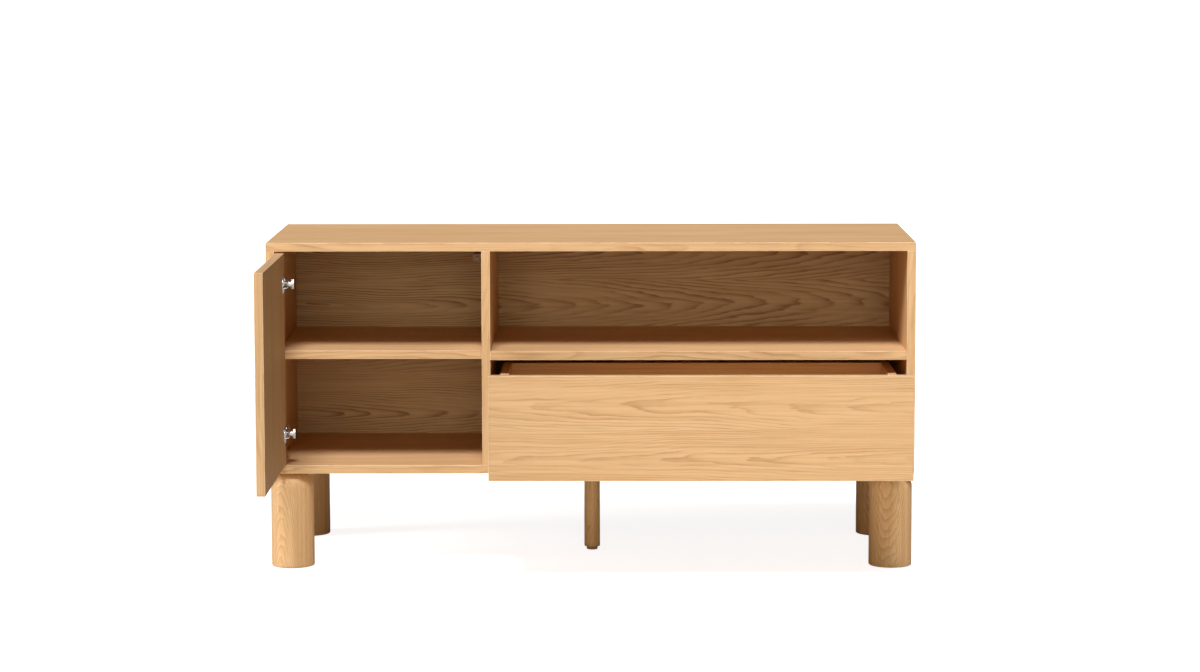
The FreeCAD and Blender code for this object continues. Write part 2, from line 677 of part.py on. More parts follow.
def hinge_arm(name, level):
    body = new_body(name, (PIVOT_X, FRONT, level))
    sketch = new_sketch(body, "XY", ZERO)
    bend = S.arm_start - S.arm_high
    far_bend = S.nose_front + S.hook_depth
    draw_outline(sketch, [
        (S.nose_near, S.nose_front), (S.nose_far, S.nose_front), (S.nose_far, far_bend),
        (S.arm_high, S.arm_start + S.arm_low), (S.arm_high, S.arm_end), (S.arm_low, S.arm_end),
        (S.arm_low, S.arm_start), (S.nose_near, bend - S.arm_width)])
    pad(body, sketch, S.arm_width, middle=True)
    sketch = new_sketch(body, "XY", ZERO)
    draw_outline(sketch, corners(S.nose_far - S.hook_ease, S.nose_front + S.hook_ease,
                                 S.hook_far - S.nose_far + S.hook_ease, S.hook_depth - S.hook_ease * 2))
    pad(body, sketch, S.hook_width, middle=True)
    sketch = new_sketch(body, "XY", ZERO)
    draw_outline(sketch, corners(S.arm_low, S.arm_start + S.arm_low, S.arm_high - S.arm_low,
                                 S.arm_end - S.arm_start - S.arm_low))
    pad(body, sketch, S.arm_body_width, middle=True)
    bore(body, "YZ", arm_screw_spots(level), S.screw_dia, S.arm_screw_depth, False)


def arm_screw_spots(level):
    rows = [S.arm_start + S.arm_screw_end, S.arm_end - S.arm_screw_end]
    return [(PIVOT_X + S.arm_high, FRONT + row, level) for row in rows]


def hinge_plate(name, level):
    body = new_body(name, (LEFT_IN, FRONT, level))
    lift = S.door_side_gap + S.arm_low
    sketch = new_sketch(body, "XY", ZERO)
    ridge = S.arm_end - S.arm_start - S.ridge_short * 2
    draw_outline(sketch, corners(ZERO, S.arm_start + S.ridge_short, lift, ridge))
    pad(body, sketch, S.plate_ridge, middle=True)
    sketch = new_sketch(body, "XY", ZERO)
    draw_outline(sketch, corners(ZERO, S.plate_front, S.plate_base, S.plate_depth))
    pad(body, sketch, S.plate_wing, middle=True)
    bore(body, "YZ", plate_screw_spots([level]), S.screw_dia, S.plate_base, True)


def hinge_screws():
    spots = [(x + S.plate_base, y, z) for x, y, z in plate_screw_spots(HINGE_LEVELS)]
    pegs("hinge_plate_screws", "YZ", spots, [(-S.screw_length, S.screw_dia, S.screw_length),
                                            (ZERO, S.screw_head, S.screw_head_height)])
    spots = [spot for level in HINGE_LEVELS for spot in arm_screw_spots(level)]
    pegs("hinge_arm_screws", "YZ", spots, [(-S.arm_screw_depth, S.screw_dia, S.arm_screw_depth),
                                          (ZERO, S.arm_screw_head, S.screw_head_height)])


def door_latch():
    """Push latch on the divider, its plunger just behind the closed door."""
    x = DIVIDER - S.latch_wide
    body = new_body("door_latch_housing", (x, FRONT + S.latch_set, S.latch_level - S.latch_high / 2))
    sketch = new_sketch(body, "XY", ZERO)
    draw_outline(sketch, corners(ZERO, ZERO, S.latch_wide, S.latch_long))
    pad(body, sketch, S.latch_high)
    face_y = FRONT + S.latch_set
    axis_x = PIVOT_X + DOOR_WIDTH - S.strike_edge
    tip_y = FRONT + S.board + S.plunger_gap
    deep = tip_y + S.plunger_long + S.plunger_room - face_y
    bore(body, "XZ", [(axis_x, face_y, dim(S.latch_level))], S.plunger_bore, deep, True)
    spots = door_latch_screw_spots()
    bore(body, "YZ", [(x, y, z) for _, y, z in spots], S.latch_screw_dia, S.latch_wide, True)
    pegs("door_latch_plunger", "XZ", [(axis_x, tip_y + S.plunger_long, dim(S.latch_level))],
         [(ZERO, S.plunger_dia, S.plunger_long)])


def door_latch_screw_spots():
    y = FRONT + S.latch_set + S.latch_long - S.latch_screw_end
    return [(DIVIDER, y, dim(S.latch_level))]


def door_latch_screw():
    (x, y, z), = door_latch_screw_spots()
    head = (x - S.latch_wide, y, z)
    shank = S.latch_wide + S.latch_screw_bite
    pegs("door_latch_screw", "YZ", [head],
         [(ZERO, S.latch_screw_dia, shank),
          (-S.screw_head_height, S.latch_screw_head, S.screw_head_height)])


# ---- drawer, pulled out at rest ---------------------------------------------------------------

BOX_LEFT = BAY + S.drawer_clear
BOX_RIGHT = RIGHT_IN - S.drawer_clear
BOX_LOW = FLOOR + S.drawer_lift
DRAWER_FRONT = FRONT - S.drawer_out
BOX_FRONT = DRAWER_FRONT + S.board
BOX_REAR = DRAWER_FRONT + S.drawer_length
BED = BOX_LOW + S.drawer_floor_lift
BOX_ROWS = [BOX_LOW + S.drawer_dowel_low, BOX_LOW + S.drawer_dowel_high]
SLIDE_Z = FLOOR + S.slide_level
SLIDE_FRONT = FRONT + S.slide_set
SLIDE_SCREW_STEPS = [S.slide_screw_end, S.slide_length / 2, S.slide_length - S.slide_screw_end]


def drawer_front():
    at = (BAY + S.drawer_side_gap, DRAWER_FRONT, FLOOR + S.drawer_low_gap)
    wide = RIGHT_IN - BAY - S.drawer_side_gap * 2
    high = S.lower_bay - S.drawer_low_gap - S.drawer_top_gap
    body = board("drawer_front", at, (wide, S.board, high))
    start = own(body, (BOX_LEFT + S.board - S.groove, BOX_FRONT - S.groove, BED))
    cut_box(body, start, (BOX_RIGHT - BOX_LEFT - S.board * 2 + S.groove * 2, S.groove, S.drawer_floor))
    bore(body, "XZ", front_dowel_spots(), S.dowel_dia, S.dowel_short, False)


def front_dowel_spots():
    xs = [BOX_LEFT + S.board / 2, BOX_RIGHT - S.board / 2]
    return grid(xs, [BOX_FRONT], BOX_ROWS)


def drawer_side(name, x, inner_x, turn):
    length = S.drawer_length - S.board
    body = board(name, (x, BOX_FRONT, BOX_LOW), (S.board, length, S.drawer_box_height))
    start = own(body, (inner_x - S.groove if turn > 0 else inner_x, BOX_FRONT, BED))
    cut_box(body, start, (S.groove, length - S.board + S.groove, S.drawer_floor))
    bore(body, "XZ", grid([x + S.board / 2], [BOX_FRONT], BOX_ROWS), S.dowel_dia, S.dowel_long, True)
    rear = grid([inner_x], [BOX_REAR - S.board / 2], BOX_ROWS)
    bore(body, "YZ", rear, S.dowel_dia, S.dowel_short, turn < 0)
    outer_x = x if turn > 0 else x + S.board
    bore(body, "YZ", slide_screw_spots(outer_x, -S.drawer_out), S.slide_screw_dia,
         S.slide_screw_short, turn > 0)


def drawer_back():
    inner = BOX_RIGHT - BOX_LEFT - S.board * 2
    at = (BOX_LEFT + S.board, BOX_REAR - S.board, BOX_LOW)
    body = board("drawer_back", at, (inner, S.board, S.drawer_box_height))
    cut_box(body, (ZERO, ZERO, S.drawer_floor_lift), (inner, S.groove, S.drawer_floor))
    y = BOX_REAR - S.board / 2
    bore(body, "YZ", grid([BOX_LEFT + S.board], [y], BOX_ROWS), S.dowel_dia, S.dowel_long, True)
    bore(body, "YZ", grid([BOX_RIGHT - S.board], [y], BOX_ROWS), S.dowel_dia, S.dowel_long, False)


def drawer_bottom():
    wide = BOX_RIGHT - BOX_LEFT - S.board * 2 + S.groove * 2
    deep = S.drawer_length - S.board * 2 + S.groove * 2
    body = new_body("drawer_bottom", (BOX_LEFT + S.board - S.groove, BOX_FRONT - S.groove, BED))
    sketch = new_sketch(body, "XY", ZERO)
    draw_outline(sketch, corners(ZERO, ZERO, wide, deep))
    pad(body, sketch, S.drawer_floor)


def drawer_dowels():
    length = S.dowel_short + S.dowel_long
    pegs("drawer_front_dowels", "XZ", front_dowel_spots(), [(-S.dowel_long, S.dowel_dia, length)])
    y = BOX_REAR - S.board / 2
    starts = [BOX_LEFT + S.board - S.dowel_short, BOX_RIGHT - S.board - S.dowel_long]
    pegs("drawer_back_dowels", "YZ", grid(starts, [y], BOX_ROWS), [(ZERO, S.dowel_dia, length)])


# ---- drawer slides ----------------------------------------------------------------------------

def slide_screw_spots(x, shift):
    return [(dim(x), SLIDE_FRONT + step + shift, SLIDE_Z) for step in SLIDE_SCREW_STEPS]


def packer(name, x):
    body = new_body(name, (x, SLIDE_FRONT, SLIDE_Z - S.slide_height / 2))
    sketch = new_sketch(body, "XY", ZERO)
    draw_outline(sketch, corners(ZERO, ZERO, S.packer, S.slide_length))
    pad(body, sketch, S.slide_height)
    return body


def channel(name, wall_x, turn, shift, web, lips, half):
    """Channel along Y; web and lips are distances from the packer, turn points to the drawer."""
    body = new_body(name, (wall_x, SLIDE_FRONT + shift, SLIDE_Z))
    inward = S.slide_sheet if lips.number > web.number else -S.slide_sheet
    thin = half - S.slide_sheet
    outline = [(web, -half), (lips, -half), (lips, -thin), (web + inward, -thin),
               (web + inward, thin), (lips, thin), (lips, half), (web, half)]
    sketch = new_sketch(body, "XZ", ZERO)
    draw_outline(sketch, [(u * turn, v) for u, v in outline])
    pad(body, sketch, S.slide_length, reverse=True)
    return body


def slide_set(side, wall_x, turn):
    """The three nested members of one slide; wall_x is the packer's free face."""
    half = S.slide_height / 2
    step = S.slide_sheet + S.slide_step
    outer = channel(f"{side}_slide_outer", wall_x, turn, ZERO, ZERO, S.slide_lip, half)
    channel(f"{side}_slide_middle", wall_x, turn, -S.drawer_out / 2, step, S.slide_lip, half - step)
    inner = channel(f"{side}_slide_inner", wall_x, turn, -S.drawer_out, S.slide_room, S.slide_inner_lip,
                    half - step * 2)
    head = S.slide_screw_head
    bore(outer, "YZ", slide_screw_spots(wall_x, ZERO), head, S.slide_sheet, turn > 0)
    drawer_x = wall_x + S.slide_room * turn
    bore(inner, "YZ", slide_screw_spots(drawer_x, -S.drawer_out), head, S.slide_sheet, turn < 0)


def slide_screws(name, sides, shift, long):
    """Flush-head screws; each side is face x and the way the shank points."""
    body = new_body(name)
    for x, turn in sides:
        stages = ((S.slide_screw_head, S.slide_sheet, -turn), (S.slide_screw_dia, long, turn))
        for diameter, length, way in stages:
            sketch = new_sketch(body, "YZ", x)
            draw_circles(sketch, [(y, z) for _, y, z in slide_screw_spots(x, shift)], diameter)
            pad(body, sketch, length, reverse=way < 0)


# ---- drawer latch at the back of the bay ------------------------------------------------------

LATCH_X = (BAY + RIGHT_IN) / 2
LATCH_TIP = FRONT + S.drawer_length + S.plunger_gap
REAR_LATCH_FACE = BACK - S.rear_latch_deep - S.rear_latch_gap


def rear_latch_screw_spots(level):
    y = REAR_LATCH_FACE + S.rear_latch_deep / 2
    half = S.rear_latch_screw / 2
    return [(LATCH_X + half, y, level), (LATCH_X - half, y, level)]


def rear_latch():
    """Housing on a footed base, standing on the bottom board against the back."""
    y = REAR_LATCH_FACE
    foot = S.rear_latch_foot
    body = new_body("drawer_latch_housing", (LATCH_X - foot / 2, y, FLOOR))
    sketch = new_sketch(body, "XY", ZERO)
    draw_outline(sketch, corners(ZERO, ZERO, foot, S.rear_latch_deep))
    pad(body, sketch, S.rear_latch_base)
    sketch = new_sketch(body, "XY", ZERO)
    left = (foot - S.rear_latch_wide) / 2
    draw_outline(sketch, corners(left, ZERO, S.rear_latch_wide, S.rear_latch_deep))
    pad(body, sketch, S.rear_latch_high)
    level = FLOOR + S.rear_plunger_level
    deep = S.rear_latch_deep - S.rear_latch_wall
    bore(body, "XZ", [(LATCH_X, y, level)], S.plunger_bore, deep, True)
    bore(body, "XY", rear_latch_screw_spots(FLOOR), S.latch_screw_dia, S.rear_latch_base, True)
    pegs("drawer_latch_plunger", "XZ", [(LATCH_X, LATCH_TIP + S.rear_plunger_long, level)],
         [(ZERO, S.plunger_dia, S.rear_plunger_long)])
    shank = S.latch_screw_bite + S.rear_latch_base
    pegs("drawer_latch_screws", "XY", rear_latch_screw_spots(FLOOR + S.rear_latch_base),
         [(-shank, S.latch_screw_dia, shank), (ZERO, S.latch_screw_head, S.screw_head_height)])


# ---- build ------------------------------------------------------------------------------------

def build():
    top = top_panel()
    left = left_side()
    right = right_side()
    bottom = bottom_panel()
    divider = divider_panel()
    shelf = fixed_shelf()
    adjustable_shelf()
    back_panel()
    back_screws()
    over = [s for s in BACK_SCREWS if s[2].number > CEILING.number]
    under = [s for s in BACK_SCREWS if s[2].number < FLOOR.number]
    at_left = [s for s in BACK_SCREWS if s[0].number < LEFT_IN.number]
    at_right = [s for s in BACK_SCREWS if s[0].number > RIGHT_IN.number]
    middle = (DIVIDER + S.board / 2).number
    at_divider = [s for s in BACK_SCREWS if abs(s[0].number - middle) < 1]
    at_shelf = [s for s in BACK_SCREWS if abs((s[2] - MID_SHELF).number) < 1]
    drill_for_back_screws([(top, over), (bottom, under), (left, at_left), (right, at_right),
                           (divider, at_divider), (shelf, at_shelf)])
    carcass_dowels()
    shelf_pins()
    names = ("leg_front_left", "leg_front_right", "leg_rear_left", "leg_rear_right")
    for name, (x, y) in zip(names, LEG_SPOTS):
        main_leg(name, x, y)
    leg_hardware()
    support_leg()
    support_hardware()
    levelling_foot()
    door_panel()
    strike_disc()
    for name, level in zip(("upper", "lower"), HINGE_LEVELS):
        hinge_cup(f"{name}_hinge_cup", level)
        hinge_arm(f"{name}_hinge_arm", level)
        hinge_plate(f"{name}_hinge_plate", level)
    hinge_screws()
    bore(divider, "YZ", door_latch_screw_spots(), S.latch_screw_dia, S.latch_screw_bite, True)
    door_latch()
    door_latch_screw()
    drawer_front()
    drawer_side("drawer_left_side", BOX_LEFT, BOX_LEFT + S.board, 1)
    drawer_side("drawer_right_side", BOX_RIGHT - S.board, BOX_RIGHT - S.board, -1)
    drawer_back()
    drawer_bottom()
    drawer_dowels()
    walls = [("left", BAY, 1, divider), ("right", RIGHT_IN - S.packer, -1, right)]
    for side, x, turn, wall in walls:
        strip = packer(f"{side}_slide_packer", x)
        face = x + S.packer if turn > 0 else x
        slide_set(side, face, turn)
        bore(strip, "YZ", slide_screw_spots(face, ZERO), S.slide_screw_dia, S.packer, turn < 0)
        wall_face = x if turn > 0 else x + S.packer
        bore(wall, "YZ", slide_screw_spots(wall_face, ZERO), S.slide_screw_dia,
             S.slide_screw_long - S.packer, turn < 0)
    slide_screws("slide_outer_screws", [(BAY + S.packer, -1), (RIGHT_IN - S.packer, 1)], ZERO,
                 S.slide_screw_long)
    slide_screws("slide_inner_screws", [(BOX_LEFT, 1), (BOX_RIGHT, -1)], -S.drawer_out,
                 S.slide_screw_short)
    rear_latch()


def check_all():
    DOC.recompute()
    for thing in DOC.Objects:
        if "Invalid" in thing.State or "Error" in thing.State:
            raise RuntimeError(f"{thing.Label}: {thing.State}")
    for body in NODES:
        if body.Shape.isNull() or not body.Shape.isValid() or not body.Shape.Solids:
            raise RuntimeError(f"{body.Label} has no valid solid")


def write_all():
    os.makedirs("parts", exist_ok=True)
    for body in NODES:
        body.Shape.exportStep(os.path.join("parts", f"{body.Label}.step"))
        size = body.Shape.BoundBox
        print(f"{body.Label}: {len(body.Shape.Solids)} solid(s), "
              f"{size.XLength:.1f} x {size.YLength:.1f} x {size.ZLength:.1f} mm")


build()
check_all()
write_all()
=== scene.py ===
import math

import bpy
from mathutils import Matrix, Vector


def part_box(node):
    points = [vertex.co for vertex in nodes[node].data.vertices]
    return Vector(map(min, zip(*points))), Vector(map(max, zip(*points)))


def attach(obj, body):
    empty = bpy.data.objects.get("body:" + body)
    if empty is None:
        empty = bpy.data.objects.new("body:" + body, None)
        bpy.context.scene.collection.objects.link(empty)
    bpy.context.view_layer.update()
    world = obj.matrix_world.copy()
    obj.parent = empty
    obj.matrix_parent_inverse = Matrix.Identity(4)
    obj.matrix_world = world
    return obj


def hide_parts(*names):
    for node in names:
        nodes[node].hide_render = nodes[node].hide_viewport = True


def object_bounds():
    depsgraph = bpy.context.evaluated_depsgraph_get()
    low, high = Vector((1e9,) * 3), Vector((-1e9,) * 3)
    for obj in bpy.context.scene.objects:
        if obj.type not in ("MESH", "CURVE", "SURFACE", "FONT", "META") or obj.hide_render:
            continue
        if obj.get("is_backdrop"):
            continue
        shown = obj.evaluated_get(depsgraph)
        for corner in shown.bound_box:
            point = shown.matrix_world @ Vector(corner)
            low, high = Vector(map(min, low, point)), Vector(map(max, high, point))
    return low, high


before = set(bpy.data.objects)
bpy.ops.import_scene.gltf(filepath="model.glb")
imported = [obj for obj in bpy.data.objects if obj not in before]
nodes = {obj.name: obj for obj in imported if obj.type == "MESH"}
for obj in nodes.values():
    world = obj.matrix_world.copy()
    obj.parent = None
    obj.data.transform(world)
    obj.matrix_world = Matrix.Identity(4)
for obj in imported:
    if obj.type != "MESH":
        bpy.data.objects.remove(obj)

cad_low, cad_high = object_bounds()
bpy.ops.object.select_all(action="DESELECT")


# ---- carcass boards ----------------------------------------------------------------------------
# Blockboard 16 mm thick, faced and edged with crown-cut oak veneer under a clear matt lacquer.
# The grain runs across on the top, bottom and shelves and upright on the sides and the divider;
# hidden dowels and glue hold the boards together.

OAK_PALE = (0.750, 0.468, 0.212)
OAK_WARM = (0.650, 0.383, 0.155)
OAK_RING = (0.400, 0.205, 0.066)
OAK_PORE = (0.300, 0.150, 0.060)
# pale colour of rubbed edges, also used as a painted highlight along every arris
OAK_RUBBED_AND_HIGHLIGHT = (0.87, 0.62, 0.34)
LEAF = 0.105            # width of one leaf of veneer
RING = 0.0034           # distance between growth rings
LYING = (0, 0, 0)       # grain across the cabinet, face up
UPRIGHT = (0, math.pi / 2, 0)       # grain from floor to top
END_ACROSS = (0, 0, math.pi / 2)    # the band on a board's end faces


def new_material(name, metallic=0.0, specular=0.22):
    """A material that holds one surface shader; returns it with its tree and shader."""
    material = bpy.data.materials.new(name)
    material.use_nodes = True
    tree = material.node_tree
    tree.nodes.clear()
    output = tree.nodes.new("ShaderNodeOutputMaterial")
    shader = tree.nodes.new("ShaderNodeBsdfPrincipled")
    shader.inputs["Metallic"].default_value = metallic
    shader.inputs["Specular IOR Level"].default_value = specular
    tree.links.new(shader.outputs["BSDF"], output.inputs["Surface"])
    return material, tree, shader


def feed(tree, socket, value):
    """Links a socket, or sets it where the value is a plain number or colour."""
    if isinstance(value, bpy.types.NodeSocket):
        tree.links.new(value, socket)
    elif isinstance(value, tuple) and len(value) == 3 and socket.type == "RGBA":
        socket.default_value = (*value, 1)
    else:
        socket.default_value = value


def maths(tree, operation, *values):
    """One arithmetic step on sockets or plain numbers."""
    node = tree.nodes.new("ShaderNodeMath")
    node.operation = operation
    for socket, value in zip(node.inputs, values):
        feed(tree, socket, value)
    return node.outputs[0]


def plus(tree, first, second):
    return maths(tree, "ADD", first, second)


def less(tree, first, second):
    return maths(tree, "SUBTRACT", first, second)


def times(tree, first, second):
    return maths(tree, "MULTIPLY", first, second)


def times_plus(tree, value, factor, rest):
    return maths(tree, "MULTIPLY_ADD", value, factor, rest)


def placed(tree, vector, shift=(0, 0, 0), turn=(0, 0, 0), scale=(1, 1, 1)):
    """A point scaled, turned and then moved."""
    node = tree.nodes.new("ShaderNodeMapping")
    feed(tree, node.inputs["Vector"], vector)
    node.inputs["Location"].default_value = shift
    node.inputs["Rotation"].default_value = turn
    node.inputs["Scale"].default_value = scale
    return node.outputs["Vector"]


def noise(tree, vector, scale, detail=2.0, rough=0.5):
    node = tree.nodes.new("ShaderNodeTexNoise")
    feed(tree, node.inputs["Vector"], vector)
    node.inputs["Scale"].default_value = scale
    node.inputs["Detail"].default_value = detail
    node.inputs["Roughness"].default_value = rough
    return node.outputs["Fac"]


def cloud_of(tree, point, stretch, detail=3.0, rough=0.5):
    """Noise with its own number of waves a metre along each axis."""
    return noise(tree, placed(tree, point, scale=stretch), 1.0, detail, rough)


def fade(tree, value, start, end, low=0.0, high=1.0):
    """A smooth step of a value from one level to another."""
    node = tree.nodes.new("ShaderNodeMapRange")
    node.interpolation_type = "SMOOTHSTEP"
    feed(tree, node.inputs["Value"], value)
    levels = {"From Min": start, "From Max": end, "To Min": low, "To Max": high}
    for socket, number in levels.items():
        node.inputs[socket].default_value = number
    return node.outputs["Result"]


def tint(tree, factor, first, second, mode="MIX"):
    """The first colour, moved towards the second by the factor."""
    node = tree.nodes.new("ShaderNodeMix")
    node.data_type = "RGBA"
    node.blend_type = mode
    factor_socket, first_socket, second_socket = node.inputs[0], node.inputs[6], node.inputs[7]
    feed(tree, factor_socket, factor)
    feed(tree, first_socket, first)
    feed(tree, second_socket, second)
    return node.outputs[2]


def split(tree, vector):
    node = tree.nodes.new("ShaderNodeSeparateXYZ")
    feed(tree, node.inputs["Vector"], vector)
    return node.outputs["X"], node.outputs["Y"], node.outputs["Z"]


def object_point(tree):
    return tree.nodes.new("ShaderNodeTexCoord").outputs["Object"]


def raise_surface(tree, shader, height, depth):
    node = tree.nodes.new("ShaderNodeBump")
    node.inputs["Strength"].default_value = 1.0
    node.inputs["Distance"].default_value = depth
    feed(tree, node.inputs["Height"], height)
    tree.links.new(node.outputs["Normal"], shader.inputs["Normal"])


def edge_distance(tree, point, low, high):
    """How far a point of a box is from its nearest edge line, measured over the faces."""
    middle, half = (low + high) / 2, (high - low) / 2
    gaps = []
    for index, axis in enumerate(split(tree, point)):
        from_middle = maths(tree, "ABSOLUTE", less(tree, axis, middle[index]))
        gaps.append(less(tree, half[index], from_middle))
    lesser = maths(tree, "MINIMUM", gaps[0], gaps[1])
    greater = maths(tree, "MAXIMUM", gaps[0], gaps[1])
    return maths(tree, "MAXIMUM", lesser, maths(tree, "MINIMUM", greater, gaps[2]))


def grain_point(tree, point, turn, end_turn, middle):
    """The point from the board's middle with X along the grain; end faces have their own band."""
    end_face = 0.8      # how nearly a face looks along the grain, as a cosine
    centred = placed(tree, point, shift=tuple(-middle))
    main = placed(tree, centred, turn=turn)
    band = placed(tree, centred, turn=end_turn)
    normal = tree.nodes.new("ShaderNodeNewGeometry").outputs["True Normal"]
    facing = maths(tree, "ABSOLUTE", split(tree, placed(tree, normal, turn=turn))[0])
    chosen = tree.nodes.new("ShaderNodeMix")
    chosen.data_type = "VECTOR"
    feed(tree, chosen.inputs[0], maths(tree, "GREATER_THAN", facing, end_face))
    feed(tree, chosen.inputs[4], main)
    feed(tree, chosen.inputs[5], band)
    return chosen.outputs[1]


def leaf_rings(tree, place, grain, seed, slope, heart, side, ring):
    """Counts the growth rings on leaves of veneer laid side by side; they arch along X."""
    slow, quick = (2.4, 9, 9), (9, 45, 45)      # waves a metre along, across and into the grain
    sway_width, stir_depth = 0.034, 0.006       # how far the heart line and the rings wander
    heart_from, heart_spread = 0.37, 0.26       # the heart line's place, as a share of the leaf
    pith_spread = 0.024                         # how the pith's depth differs between leaves
    along, across, deep = split(tree, place)
    rows = maths(tree, "DIVIDE", across, LEAF)
    chance = tree.nodes.new("ShaderNodeTexWhiteNoise")
    chance.noise_dimensions = "1D"
    feed(tree, chance.inputs["W"], plus(tree, maths(tree, "FLOOR", rows), seed * 17.3))
    luck = chance.outputs["Value"]
    sway = less(tree, cloud_of(tree, grain, slow), 0.5)
    stir = less(tree, cloud_of(tree, grain, quick, 3.0, 0.6), 0.5)
    heart_line = times_plus(tree, luck, heart_spread, heart_from)
    inside = times(tree, less(tree, maths(tree, "FRACT", rows), heart_line), LEAF)
    inside = times_plus(tree, sway, sway_width, plus(tree, inside, side))
    pith = times_plus(tree, luck, pith_spread, heart)
    depth = times_plus(tree, along, slope, pith)
    depth = times_plus(tree, stir, stir_depth, plus(tree, depth, deep))
    squares = plus(tree, times(tree, inside, inside), times(tree, depth, depth))
    return maths(tree, "DIVIDE", maths(tree, "SQRT", squares), ring)


def oak(name, node, turn, end_turn, seed, slope=0.012, heart=0.05, side=0.24, figure=0.6, painted_light_scale=1.0,
        ring=RING):
    """Oak veneer: soft ring lines that arch along the grain, streaks, fine pores, rubbed edges that
    also carry a painted highlight, and a painted light scale over the whole piece.
    """
    material, tree, shader = new_material(name)
    low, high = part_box(node)
    point = object_point(tree)
    place = grain_point(tree, point, turn, end_turn, (low + high) / 2)
    grain = placed(tree, place, shift=(seed * 1.37, seed * 0.731, seed * 0.11))

    # dark late wood at the end of each ring, stronger in some patches
    count = leaf_rings(tree, place, grain, seed, slope, heart, side, ring)
    wander = cloud_of(tree, grain, (3, 70, 70))
    phase = maths(tree, "FRACT", times_plus(tree, wander, 1.3, count))
    late = times(tree, maths(tree, "POWER", phase, 3.0), fade(tree, phase, 1.0, 0.86))
    patch = fade(tree, cloud_of(tree, grain, (4, 30, 30), 3.0, 0.6), 0.30, 0.70, 0.12, 1.0)
    late = times(tree, late, patch)

    # streaks, broad clouds and open pores
    streak = cloud_of(tree, grain, (3.5, 190, 190), 4.0, 0.62)
    cloud = cloud_of(tree, grain, (1.1, 7, 7), 2.0)
    pores = fade(tree, cloud_of(tree, grain, (42, 1500, 1500), 2.0, 0.55), 0.56, 0.70)
    pores = times(tree, pores, times_plus(tree, late, 0.8, 0.22))
    colour = tint(tree, fade(tree, streak, 0.36, 0.66), OAK_PALE, OAK_WARM)
    colour = tint(tree, times(tree, fade(tree, cloud, 0.35, 0.7), 0.35), colour, OAK_WARM)
    line = maths(tree, "MINIMUM", times(tree, late, 0.95 * figure), 1.0)
    colour = tint(tree, line, colour, OAK_RING)
    colour = tint(tree, times(tree, pores, 0.45), colour, OAK_PORE)

    # the eased edge is rubbed pale and also carries a painted highlight, with the glue line of the
    # edging beside it
    rim = edge_distance(tree, point, low, high)
    rubbed = cloud_of(tree, point, (30, 30, 30), 3.0, 0.65)
    rubbed_and_highlight = times(tree, fade(tree, rim, 0.0026, 0.0006), fade(tree, rubbed, 0.30, 0.58))
    colour = tint(tree, times(tree, rubbed_and_highlight, 0.60), colour, OAK_RUBBED_AND_HIGHLIGHT)
    seam = times(tree, fade(tree, rim, 0.0010, 0.0016), fade(tree, rim, 0.0034, 0.0020))
    colour = tint(tree, times(tree, seam, 0.22), colour, OAK_RING)
    # painted shade: the whole piece's colour is darkened by this scale where it is below one
    colour = tint(tree, 1.0, colour, (painted_light_scale, painted_light_scale, painted_light_scale), "MULTIPLY")
    tree.links.new(colour, shader.inputs["Base Color"])

    gloss = times_plus(tree, pores, 0.18, times_plus(tree, streak, 0.12, 0.50))
    feed(tree, shader.inputs["Roughness"], times_plus(tree, rubbed_and_highlight, 0.10, gloss))
    height = times_plus(tree, late, -0.35, times(tree, pores, -1.0))
    raise_surface(tree, shader, height, 0.00012)
    return material


def finish_node(name, material):
    """Gives a CAD node its material in every slot it has."""
    mesh = nodes[name].data
    if not mesh.materials:
        mesh.materials.append(material)
    for index in range(len(mesh.materials)):
        mesh.materials[index] = material


carcass_boards = (("top_panel", LYING, 1.2), ("bottom_panel", LYING, 1.2),
                  ("fixed_shelf", LYING, 1.3), ("adjustable_shelf", LYING, 1.3),
                  ("left_side_panel", UPRIGHT, 0.7), ("right_side_panel", UPRIGHT, 0.7),
                  ("divider_panel", UPRIGHT, 0.7))
for seed, (name, turn, figure) in enumerate(carcass_boards, start=1):
    finish_node(name, oak(f"oak_{name}", name, turn, END_ACROSS, seed, figure=figure))


# ---- back panel and its screws -----------------------------------------------------------------
# A 4 mm board with strongly figured crown-cut veneer, its arches lying along the cabinet.
# It sits in a rebate and is held by pan head screws with cross recesses.

FACING = (math.pi / 2, 0, 0)        # grain across the cabinet, face to the front
BACK_RING = 0.0046
# the scale of 0.84 darkens the back panel as painted shade
finish_node("back_panel", oak("oak_back_panel", "back_panel", FACING, UPRIGHT, 8, slope=0.070,
                              heart=0.030, side=0.0, figure=2.4, painted_light_scale=0.84, ring=BACK_RING))


def metal(name, colour, rough):
    """Plated steel with fine random scratches and dull patches."""
    material, tree, shader = new_material(name, metallic=1.0)
    point = object_point(tree)
    patch = cloud_of(tree, point, (90, 90, 90), 4.0, 0.6)
    lines = cloud_of(tree, point, (2200, 240, 240), 2.0)
    dark = tuple(c * 0.84 for c in colour)
    bright = tuple(min(1.0, c * 1.12) for c in colour)
    shade = tint(tree, fade(tree, patch, 0.3, 0.75), colour, dark)
    shade = tint(tree, times(tree, fade(tree, lines, 0.55, 0.75), 0.25), shade, bright)
    tree.links.new(shade, shader.inputs["Base Color"])
    feed(tree, shader.inputs["Roughness"], times_plus(tree, patch, 0.22, rough))
    raise_surface(tree, shader, times(tree, lines, 0.5), 0.00003)
    return material


zinc = metal("zinc_plate", (0.66, 0.67, 0.68), 0.26)
nickel = metal("nickel_plate", (0.80, 0.79, 0.76), 0.16)


def select_only(obj):
    bpy.ops.object.select_all(action="DESELECT")
    obj.select_set(True)
    bpy.context.view_layer.objects.active = obj


def apply_modifier(obj, kind, **settings):
    select_only(obj)
    modifier = obj.modifiers.new(kind.lower(), kind)
    for key, value in settings.items():
        setattr(modifier, key, value)
    bpy.ops.object.modifier_apply(modifier=modifier.name)


def pick_faces(obj, test):
    """Selects the faces whose normal passes the test, in edit mode."""
    bpy.ops.object.mode_set(mode="OBJECT")
    for face in obj.data.polygons:
        face.select = test(face.normal)
    bpy.ops.object.mode_set(mode="EDIT")


WELD = 0.00001      # vertices nearer than this are one


